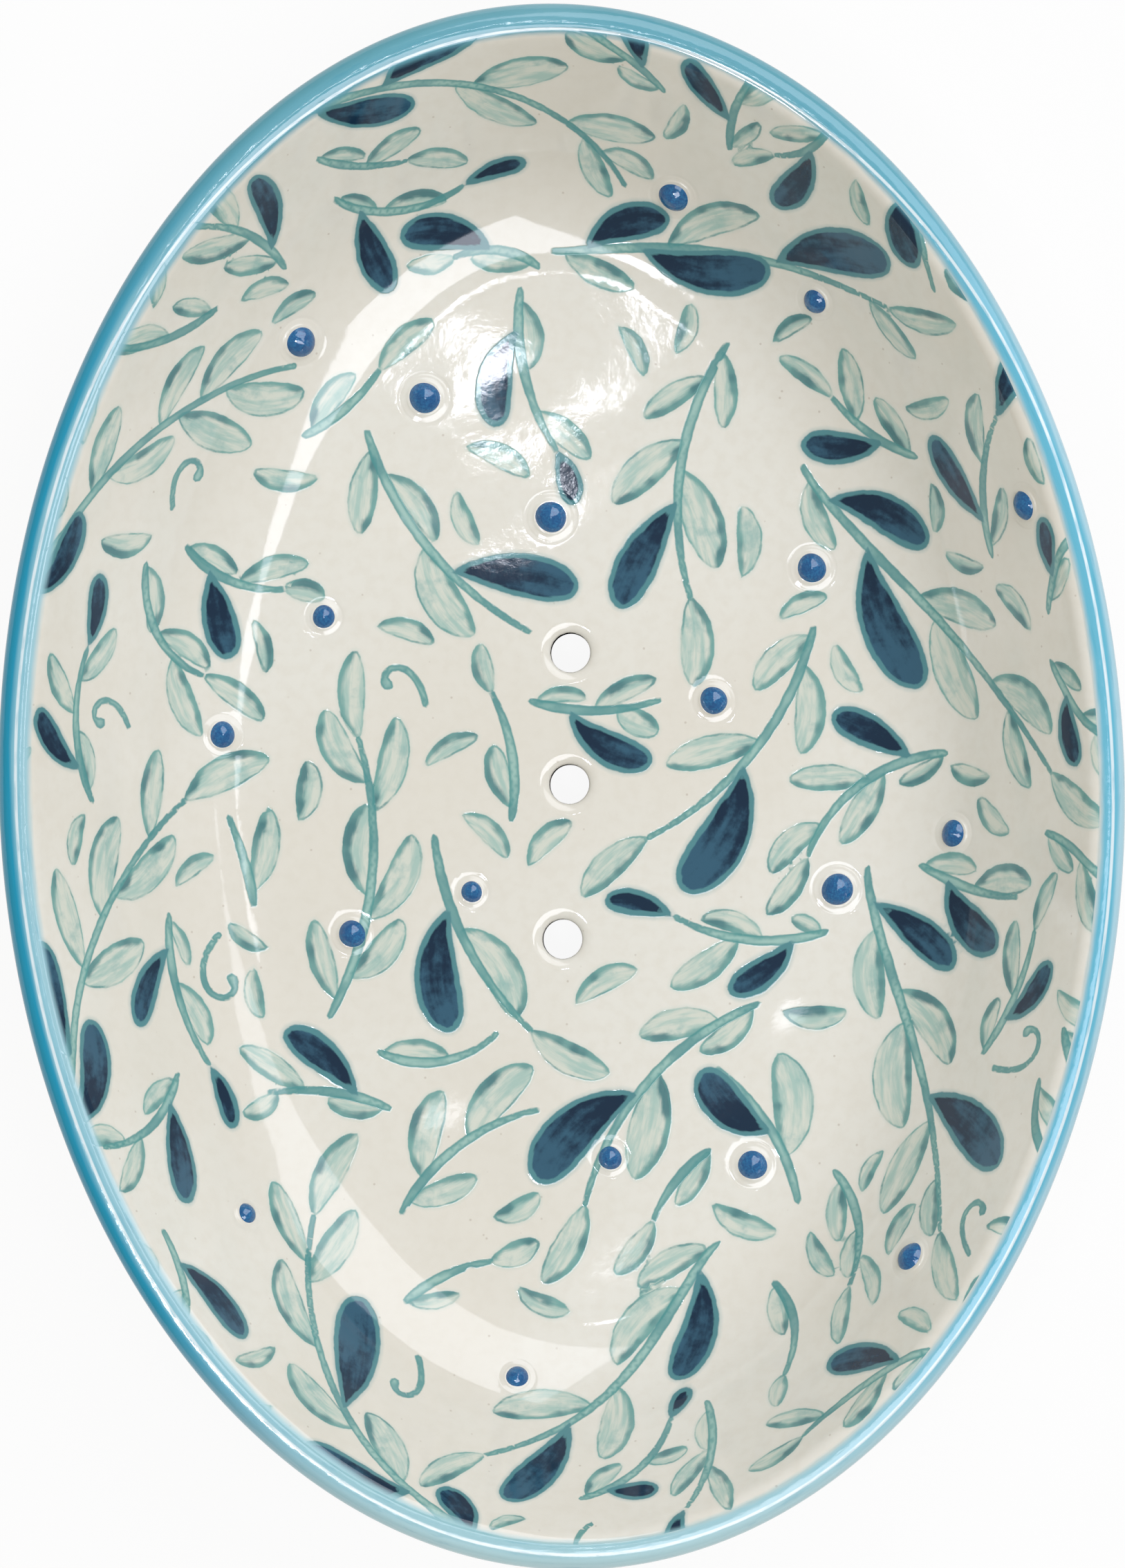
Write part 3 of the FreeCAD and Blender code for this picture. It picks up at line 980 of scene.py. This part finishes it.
class Output:
    """An output of a node. Whatever is reckoned with it becomes a node in the same tree."""

    def __init__(self, node, key=0):
        self.socket = node.outputs[key]

    def node(self, kind, inputs, **settings):
        return new_node(self.socket.id_data, kind, inputs, **settings)

    def math(self, operation, *others):
        return Output(self.node("Math", dict(enumerate((self, *others))), operation=operation))

    def __add__(self, other):
        return self.math("ADD", other)

    def __sub__(self, other):
        return self.math("SUBTRACT", other)

    def __mul__(self, other):
        return self.math("MULTIPLY", other)

    def larger(self, other):
        return self.math("MAXIMUM", other)

    def step(self, low, high, start=0.0, end=1.0):
        """Eased from start to end while this value goes from low to high."""
        limits = dict(enumerate((self, low, high, start, end)))
        return Output(self.node("MapRange", limits, interpolation_type="SMOOTHSTEP"))

    def split(self):
        """The three parts of a vector or a colour."""
        parts = self.node("SeparateXYZ", {0: self})
        return [Output(parts, key) for key in range(3)]

    def scaled(self, *factors):
        return Output(self.node("VectorMath", {0: self, 1: factors}, operation="MULTIPLY"))

    def noise(self, scale, detail=2.0, roughness=0.5):
        inputs = {"Vector": self, "Scale": scale, "Detail": detail, "Roughness": roughness}
        return Output(self.node("TexNoise", inputs))

    def cells(self, scale):
        """Scattered points: how far the nearest of them is, and its three random numbers."""
        cells = self.node("TexVoronoi", {"Vector": self, "Scale": scale})
        return Output(cells, "Distance"), Output(cells, "Color").split()

    def stored(self, name, key="Fac"):
        """What the mesh stores under a name at the shaded point."""
        return Output(self.node("Attribute", {}, attribute_name=name), key)


def mix(share, first, second):
    """Two colours, each an output or a screen tone, mixed by the share of the second.

    The node's colour sockets are its inputs 6 and 7 and its output 2.
    """
    first, second = [tone(*colour) if isinstance(colour, tuple) else colour for colour in (first, second)]
    known = share if isinstance(share, Output) else first
    return Output(known.node("Mix", {0: share, 6: first, 7: second}, data_type="RGBA"), 2)


def new_material(name, shader_kind):
    material = bpy.data.materials.new(name)
    material.use_nodes = True
    tree = material.node_tree
    tree.nodes.clear()
    shader = new_node(tree, shader_kind, {})
    new_node(tree, "OutputMaterial", {"Surface": Output(shader)})
    return material, shader


def glaze(name, paint, index, ripple_height):
    """A glossy material; paint makes its colour, roughness and ripple from the point in millimetres."""
    material, shader = new_material(name, "BsdfPrincipled")
    coordinates = new_node(material.node_tree, "TexCoord", {})
    place = Output(coordinates, "Object").scaled(MILLIMETRES, MILLIMETRES, MILLIMETRES)
    colour, roughness, ripple = paint(place)
    bump = place.node("Bump", {"Distance": ripple_height, "Height": ripple})
    fill_in(shader, {"Base Color": colour, "Roughness": roughness, "IOR": index, "Normal": Output(bump)})
    return material


def cream_glaze(place):
    """Cream stoneware under clear glaze: slow changes of tone, and fine specks of iron."""
    slow = place.noise(0.035, 3)
    fine = place.noise(0.9, 3)
    colour = mix(slow.step(0.35, 0.65), (226, 222, 211), (230, 228, 219))
    colour = mix(fine.step(0.35, 0.75, 0.0, 0.35), colour, (220, 215, 202))
    near, chance = place.cells(0.62)
    speck = near.step(0.10, 0.03) * chance[0].step(0.55, 0.6)
    colour = mix(speck * 0.34, colour, (150, 128, 104))
    near, chance = place.cells(0.11)
    spot = near.step(0.028, 0.012) * chance[1].step(0.72, 0.76)
    return mix(spot * 0.75, colour, (196, 130, 62))


def side_tone_and_reflection(level, side):
    """Turquoise across the lip on one side of the dish, partly its own tone and partly that side's painted
    light and reflections.
    """
    change, outside, over_crest, inside = RIM_TONES[side]
    outer_half = mix(level.step(change - 0.3, change + 0.3), outside, over_crest)
    return mix(level.step(-0.2, 0.4), outer_half, inside)


def rim_paint(place, colour):
    """Turquoise brushed round the lip: streaks along it, another tone on each side that is partly painted
    light, and thin at its edges.

    Near the crest a pale line is painted in: a painted highlight that stands in for the lamps' reflection,
    set on each side where it falls.
    """
    girth = place.stored("girth", "Vector")
    around, front, down = girth.split()
    streak = girth.scaled(0.05, 0.05, 1.1).noise(1.0, 4, 0.6)
    broad = girth.scaled(0.03, 0.03, 0.25).noise(1.0, 2)
    fine = girth.scaled(0.35, 0.35, 3.0).noise(1.0, 3)
    right = around.step(-40, 45)
    top = front.step(25, 58)
    bottom = front.step(-38, -60)
    level = down + streak * 0.9 - 0.45
    # Tones by side, partly the glaze's own and partly painted light: the pale outer tones at the right and
    # the bottom are painted reflections
    turquoise = side_tone_and_reflection(level, "left")
    for share, side in ((right, "right"), (top, "top"), (bottom, "bottom")):
        turquoise = mix(share, turquoise, side_tone_and_reflection(level, side))
    turquoise = mix(broad.step(0.5, 0.75, 0.0, 0.3), turquoise, (150, 198, 210))
    turquoise = mix(fine.step(0.55, 0.8, 0.0, 0.25), turquoise, (48, 146, 178))
    # Painted highlight: a pale line near the crest, placed on each side where the lamps' reflection falls,
    # broken up by noise
    highlight_at = right * -0.5 + top * 0.95 + broad * 0.2 - 0.47
    off_highlight = (down - highlight_at).math("ABSOLUTE")
    painted_crest_highlight = off_highlight.step(0.17, 0.07) * fine.step(0.3, 0.55, 0.35, 0.85)
    turquoise = mix(painted_crest_highlight, turquoise, (232, 243, 248))
    inner_end = right * -0.75 + top * 0.3 + fine * 0.3 + 0.66
    outer_end = broad * 1.6 + fine * 0.5 - 5.2
    covered = (down - inner_end).step(0.42, -0.38) * (down - outer_end).step(-0.35, 0.35)
    return mix(covered, colour, turquoise)


def dish_paint(place):
    colour = cream_glaze(place)
    wobble = place.noise(0.8, 3)
    shake = (wobble - 0.5) * 0.3

    # Leaves: a thin wash with streaks along it, a fine drawn edge, and colour pooled along one side
    edge = place.stored("leaf_edge") + shake
    grain = place.stored("leaf_grain", "Vector")
    side = grain.split()[0]
    streak = grain.scaled(1.5, 0.22, 1.0).noise(1.0, 3, 0.6)
    drift = grain.scaled(0.12, 0.3, 1.0).noise(1.0, 2)
    cloud = place.noise(0.42, 4, 0.6)
    wash = mix(streak.step(0.36, 0.66), (212, 217, 205), (168, 197, 188))
    wash = mix(cloud.step(0.5, 0.72, 0.0, 0.6), wash, (132, 178, 174))
    pool_width = drift * 1.5 + streak * 0.5 - 0.55
    pool = side.step(-0.15, 0.3) * (edge - pool_width).step(0.38, -0.1)
    ink = mix(drift.step(0.42, 0.66), (104, 160, 156), (44, 112, 120))
    leaf = mix(pool * 0.92, wash, ink)
    line_width = streak * 0.2 + drift * 0.2 - 0.12
    line = (edge - line_width).step(0.15, 0.02) * cloud.step(0.38, 0.58, 0.25, 0.85)
    leaf = mix(line, leaf, mix(0.4, ink, (110, 168, 162)))
    leaf_cover = edge.step(-0.08, 0.05)
    colour = mix(edge.step(-0.4, 0.0, 0.0, 0.16), colour, (160, 198, 192))
    colour = mix(leaf_cover * 0.96, colour, leaf)

    # Stems: one pull of the brush, paler in the middle
    edge = place.stored("stem_edge") + shake * 0.7
    fade = place.noise(0.16, 2)
    stem = mix(edge.step(0.06, 0.34), (88, 152, 150), (152, 192, 184))
    stem = mix(fade.step(0.45, 0.62, 0.0, 0.8), stem, (74, 142, 144))
    stem_cover = edge.step(-0.09, 0.05)
    colour = mix(stem_cover * 0.93, colour, stem)

    # Buds: deep blue, mottled, inside a blue-green edge that bleeds a little into the glaze
    edge = place.stored("bud_edge") + shake
    grain = place.stored("bud_grain", "Vector")
    along = grain.split()[1]
    mottle = place.noise(0.9, 4, 0.65)
    brush = grain.scaled(1.2, 0.18, 1.0).noise(1.0, 3)
    thin = mottle * 0.7 + brush * 0.9 + along * 0.05
    blue = mix(thin.step(0.92, 1.36), (6, 40, 66), (50, 92, 116))
    rim = (edge + brush * -0.5).step(0.3, 0.12)
    bud = mix(rim * 0.92, blue, (86, 142, 148))
    colour = mix(edge.step(-0.5, -0.02, 0.0, 0.3), colour, (120, 168, 170))
    bud_cover = edge.step(-0.1, 0.06)
    colour = mix(bud_cover, colour, bud)

    colour = rim_paint(place, colour)

    # Bare clay where the foot ring stands
    level = place.split()[2]
    bare = (level + wobble * 0.5).step(1.0, 0.8)
    clay = mix(place.noise(1.6, 4, 0.7), (188, 160, 128), (214, 192, 162))
    colour = mix(bare, colour, clay)

    # Paint stands a little proud under the glaze, and bare clay is rough
    paint = (leaf_cover * 0.7).larger(stem_cover).larger(bud_cover)
    rough = paint * 0.02 + bare * 0.6 + GLAZE_ROUGHNESS
    ripple = place.noise(0.35, 2) + place.noise(1.6, 4, 0.6) * 0.3
    ripple = ripple + paint * 0.8 + bare * place.noise(5.0, 4) * 6.0
    return colour, rough, ripple


def band_paint(place):
    colour = rim_paint(place, cream_glaze(place))
    strokes = place.stored("girth", "Vector").scaled(0.2, 0.2, 1.0).noise(1.0, 3)
    return colour, BAND_ROUGHNESS, strokes + place.noise(1.2, 3) * 0.3


def bead_paint(place):
    grain = place.noise(5.0, 4, 0.7)
    pool = place.noise(0.8, 2)
    colour = mix(grain.step(0.35, 0.7), (13, 82, 139), (35, 118, 169))
    colour = mix(pool.step(0.45, 0.7, 0.0, 0.5), colour, (8, 71, 130))
    return colour, SLIP_ROUGHNESS, place.noise(2.2, 2)


# Pieces

def set_chart(piece):
    """The body's texture chart: the inner side large, the outside small beside it."""
    mesh = piece.data
    corners = np.array([loop.vertex_index for loop in mesh.loops])
    totals = np.array([face.loop_total for face in mesh.polygons])
    charts = []
    for name in ("inner_chart", "outer_chart"):
        stored = mesh.attributes[name]
        charts.append(np.array([item.vector for item in stored.data])[corners])
        mesh.attributes.remove(stored)
    inner, outer = charts
    is_inner = np.logical_and.reduceat(inner[:, 2] > 0.5, np.cumsum(totals) - totals)
    uv = np.where(
        np.repeat(is_inner, totals)[:, None],
        INNER_CHART_MIDDLE + inner[:, :2] / INNER_CHART_SPAN,
        OUTER_CHART_MIDDLE + outer[:, :2] * OUTER_CHART_SCALE)
    mesh.uv_layers.new(name="OFBake").data.foreach_set("uv", uv.ravel())


painted_cream = glaze("painted_cream_glaze", dish_paint, GLAZE_INDEX, GLAZE_RIPPLE)
body = dish_body().build("painted_dish", painted_cream)
set_chart(body)
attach(body, "root")
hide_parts("dish_body")

turquoise = glaze("turquoise_rim_glaze", band_paint, GLAZE_INDEX, BAND_RIPPLE)
band = rim_band().build("turquoise_band", turquoise)
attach(band, "root")
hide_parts("rim_glaze_band")

slip = glaze("cobalt_slip_glaze", bead_paint, SLIP_INDEX, SLIP_RIPPLE)
for number, (bearing, inset, radius) in enumerate(DOTS, start=1):
    drop = bead(bearing, inset, radius, number).build(f"slip_bead_{number:02d}", slip)
    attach(drop, "root")
    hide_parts(f"raised_dot_{number:02d}")

# Stage: a white floor that keeps the dish's shadow
FLOOR_REACH = 1.5
FLOOR_DROP = 0.0001
FLOOR_COLOUR = (0.8, 0.8, 0.8, 1.0)
FLOOR_GLOW = (1.0, 1.0, 1.0, 1.0)
FLOOR_GLOW_SHARE = 0.92


def floor_material():
    """Pale and matt, and mostly plain white where the camera or a reflection sees it."""
    material, shader = new_material("white_floor", "MixShader")
    path = new_node(material.node_tree, "LightPath", {})
    seen = Output(path, "Is Camera Ray").larger(Output(path, "Is Glossy Ray"))
    matt = seen.node("BsdfDiffuse", {"Color": FLOOR_COLOUR})
    glow = seen.node("Emission", {"Color": FLOOR_GLOW, "Strength": 1.0})
    fill_in(shader, {0: seen * FLOOR_GLOW_SHARE, 1: Output(matt), 2: Output(glow)})
    return material


def stage_floor():
    mesh = bpy.data.meshes.new("floor")
    corners = ((-1, -1), (1, -1), (1, 1), (-1, 1))
    points = [(x * FLOOR_REACH, y * FLOOR_REACH, -FLOOR_DROP) for x, y in corners]
    mesh.from_pydata(points, [], [(0, 1, 2, 3)])
    floor = bpy.data.objects.new("floor", mesh)
    bpy.context.scene.collection.objects.link(floor)
    mesh.materials.append(floor_material())


# Light: softboxes as name, place, width and depth in metres and power in watts, and an even room
SOFTBOXES = (
    ("key_softbox", (0.124, -0.209, 0.735), (0.36, 0.38), 2.15),
    ("fill_softbox", (0.34, 0.51, 0.66), (0.8, 0.8), 4.9),
    ("spot_lamp", (-0.122, -0.110, 0.70), (0.055, 0.062), 0.46),
    ("overhead_lamp", (-0.026, 0.083, 0.70), (0.018, 0.016), 0.036),
)
LAMP_AIM = (0, 0, 0.01)
LAMP_COLOUR = (0.89, 0.91, 1.0)
ROOM_COLOUR = (1.0, 0.93, 0.71, 1.0)
ROOM_STRENGTH = 0.32


def softbox(name, place, size, power):
    data = bpy.data.lights.new(name, "AREA")
    data.shape = "RECTANGLE"
    data.size, data.size_y = size
    data.energy = power
    data.color = LAMP_COLOUR
    lamp = bpy.data.objects.new(name, data)
    lamp.location = place
    lamp.rotation_mode = "QUATERNION"
    lamp.rotation_quaternion = (Vector(LAMP_AIM) - Vector(place)).to_track_quat("-Z", "Y")
    lamp.visible_camera = False
    bpy.context.scene.collection.objects.link(lamp)


stage_floor()
for settings in SOFTBOXES:
    softbox(*settings)

world = bpy.data.worlds.new("studio")
world.use_nodes = True
room = world.node_tree.nodes["Background"]
room.inputs["Color"].default_value = ROOM_COLOUR
room.inputs["Strength"].default_value = ROOM_STRENGTH
bpy.context.scene.world = world

# Camera: overhead, leaning a little to the lower right, and turned so that the dish leans as photographed
CAMERA_DISTANCE = 0.9
CAMERA_LEAN = (radians(1.4), radians(-1.4))
CAMERA_TURN = radians(1.74)
CAMERA_AIM = Vector((0.00013, 0.00012, 0.0208))
FRAME_HALF_HEIGHT = 0.07008
SENSOR_WIDTH = 36.0
back = Vector((tan(CAMERA_LEAN[0]), tan(CAMERA_LEAN[1]), 1)).normalized()
upwards = Vector((sin(CAMERA_TURN), cos(CAMERA_TURN), 0))
right = upwards.cross(back).normalized()
turn = Matrix((right, back.cross(right), back)).transposed()
data = bpy.data.cameras.new("camera")
data.sensor_width = SENSOR_WIDTH
data.lens = SENSOR_WIDTH / 2 * CAMERA_DISTANCE / FRAME_HALF_HEIGHT
camera = bpy.data.objects.new("camera", data)
camera.matrix_world = Matrix.Translation(CAMERA_AIM + back * CAMERA_DISTANCE) @ turn.to_4x4()
bpy.context.scene.collection.objects.link(camera)
bpy.context.scene.camera = camera
bpy.context.scene.view_settings.view_transform = "Standard"
